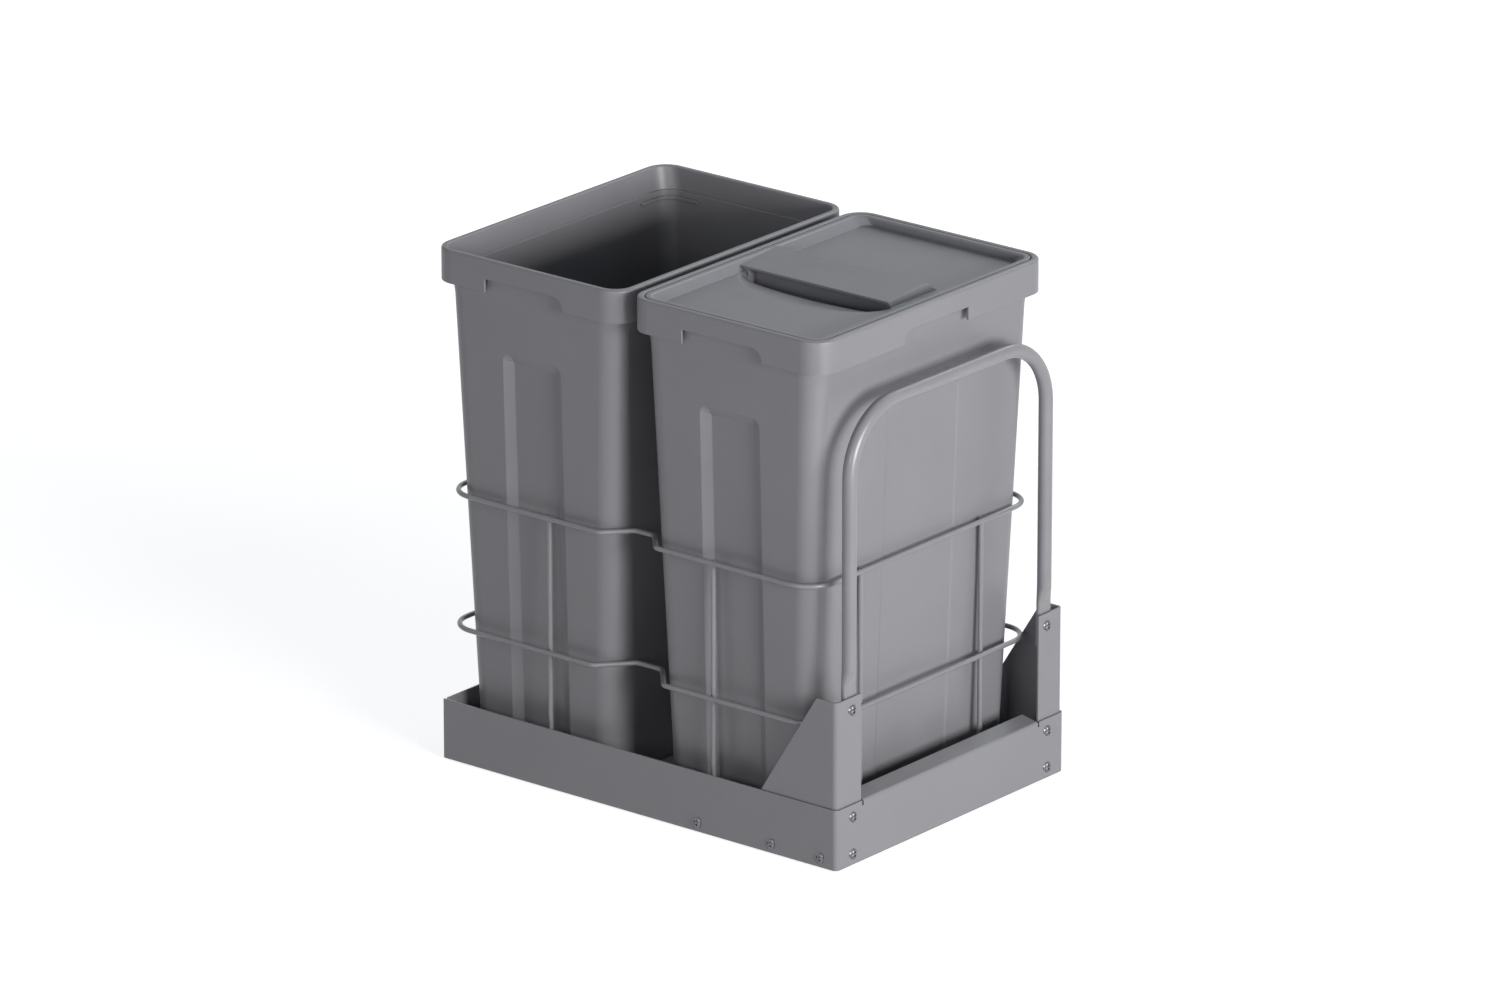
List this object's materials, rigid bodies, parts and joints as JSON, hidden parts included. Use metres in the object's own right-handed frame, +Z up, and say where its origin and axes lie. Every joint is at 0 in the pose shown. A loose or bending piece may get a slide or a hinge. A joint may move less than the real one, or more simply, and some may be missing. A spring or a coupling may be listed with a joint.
{
  "type": "pull-out waste bin unit",
  "caption": "Pull-out cabinet unit: sheet-metal tray on full-extension runners with a bow handle and wire rack holding tall tapered waste bins, one under a recessed lid.",
  "frame": {"origin": "centre of the unit's footprint, on the cabinet floor", "axes": "-Y is the front, the handle side it pulls out toward; +X to the right seen from the front; +Z up"},
  "size_m": [0.354, 0.499, 0.5181],
  "materials": {
    "bin_plastic": "fine textured moulding",
    "lid_plastic": "fine textured moulding",
    "tray_paint": "fine powder coat",
    "handle_paint": "satin powder coat",
    "rack_paint": "satin powder coat",
    "zinc_steel": "bright zinc plate",
    "cage_steel": "greased steel",
    "screw_steel": "zinc plated",
    "stop_rubber": "matte"
  },
  "bodies": {
    "cabinet_frame": {"runner_fixed_rail_left": "zinc_steel", "runner_fixed_rail_right": "zinc_steel", "cross_tie_front": "zinc_steel", "cross_tie_rear": "zinc_steel", "runner_stop_pads": "stop_rubber"},
    "carriage": {"tray_surround": "tray_paint", "tray_rear_wall": "tray_paint", "tray_floor_pan": "tray_paint", "corner_bracket_left": "tray_paint", "corner_bracket_right": "tray_paint", "handle_bow": "handle_paint", "handle_screws": "screw_steel", "front_screws": "screw_steel", "side_screws_left": "screw_steel", "side_screws_right": "screw_steel", "rack_ring_upper": "rack_paint", "rack_ring_lower": "rack_paint", "rack_base_ring": "rack_paint", "rack_uprights_front": "rack_paint", "rack_uprights_back": "rack_paint", "rack_uprights_left": "rack_paint", "rack_uprights_right": "rack_paint", "rack_clips": "zinc_steel", "clip_screws": "screw_steel", "runner_moving_rail_left": "zinc_steel", "runner_moving_rail_right": "zinc_steel", "runner_screws": "screw_steel"},
    "front_bin": {"front_bin": "bin_plastic"},
    "rear_bin": {"rear_bin": "bin_plastic"},
    "lid": {"bin_lid": "lid_plastic"},
    "middle_left": {"runner_middle_rail_left": "zinc_steel"},
    "outer_cage_left": {"runner_outer_cage_left": "cage_steel"},
    "inner_cage_left": {"runner_inner_cage_left": "cage_steel"},
    "middle_right": {"runner_middle_rail_right": "zinc_steel"},
    "outer_cage_right": {"runner_outer_cage_right": "cage_steel"},
    "inner_cage_right": {"runner_inner_cage_right": "cage_steel"}
  },
  "joints": [
    {"name": "carriage_slide", "type": "slide", "parent": "cabinet_frame", "child": "carriage", "axis": [0, -1, 0], "range_m": [0, 0.43]},
    {"name": "middle_slide_left", "type": "slide", "parent": "cabinet_frame", "child": "middle_left", "axis": [0, -1, 0], "range_m": [0, 0.215]},
    {"name": "outer_cage_slide_left", "type": "slide", "parent": "cabinet_frame", "child": "outer_cage_left", "axis": [0, -1, 0], "range_m": [0, 0.1075]},
    {"name": "inner_cage_slide_left", "type": "slide", "parent": "middle_left", "child": "inner_cage_left", "axis": [0, -1, 0], "range_m": [0, 0.1075]},
    {"name": "middle_slide_right", "type": "slide", "parent": "cabinet_frame", "child": "middle_right", "axis": [0, -1, 0], "range_m": [0, 0.215]},
    {"name": "outer_cage_slide_right", "type": "slide", "parent": "cabinet_frame", "child": "outer_cage_right", "axis": [0, -1, 0], "range_m": [0, 0.1075]},
    {"name": "inner_cage_slide_right", "type": "slide", "parent": "middle_right", "child": "inner_cage_right", "axis": [0, -1, 0], "range_m": [0, 0.1075]},
    {"name": "front_bin_lift", "type": "slide", "parent": "carriage", "child": "front_bin", "axis": [0, 0, 1], "range_m": [0, 0.3]},
    {"name": "rear_bin_lift", "type": "slide", "parent": "carriage", "child": "rear_bin", "axis": [0, 0, 1], "range_m": [0, 0.3]},
    {"name": "lid_lift", "type": "slide", "parent": "front_bin", "child": "lid", "axis": [0, 0, 1], "range_m": [0, 0.06]}
  ],
  "couplings": [
    {"joint": "middle_slide_left", "follows": "carriage_slide", "ratio": 0.5},
    {"joint": "outer_cage_slide_left", "follows": "carriage_slide", "ratio": 0.25},
    {"joint": "inner_cage_slide_left", "follows": "carriage_slide", "ratio": 0.25},
    {"joint": "middle_slide_right", "follows": "carriage_slide", "ratio": 0.5},
    {"joint": "outer_cage_slide_right", "follows": "carriage_slide", "ratio": 0.25},
    {"joint": "inner_cage_slide_right", "follows": "carriage_slide", "ratio": 0.25}
  ]
}
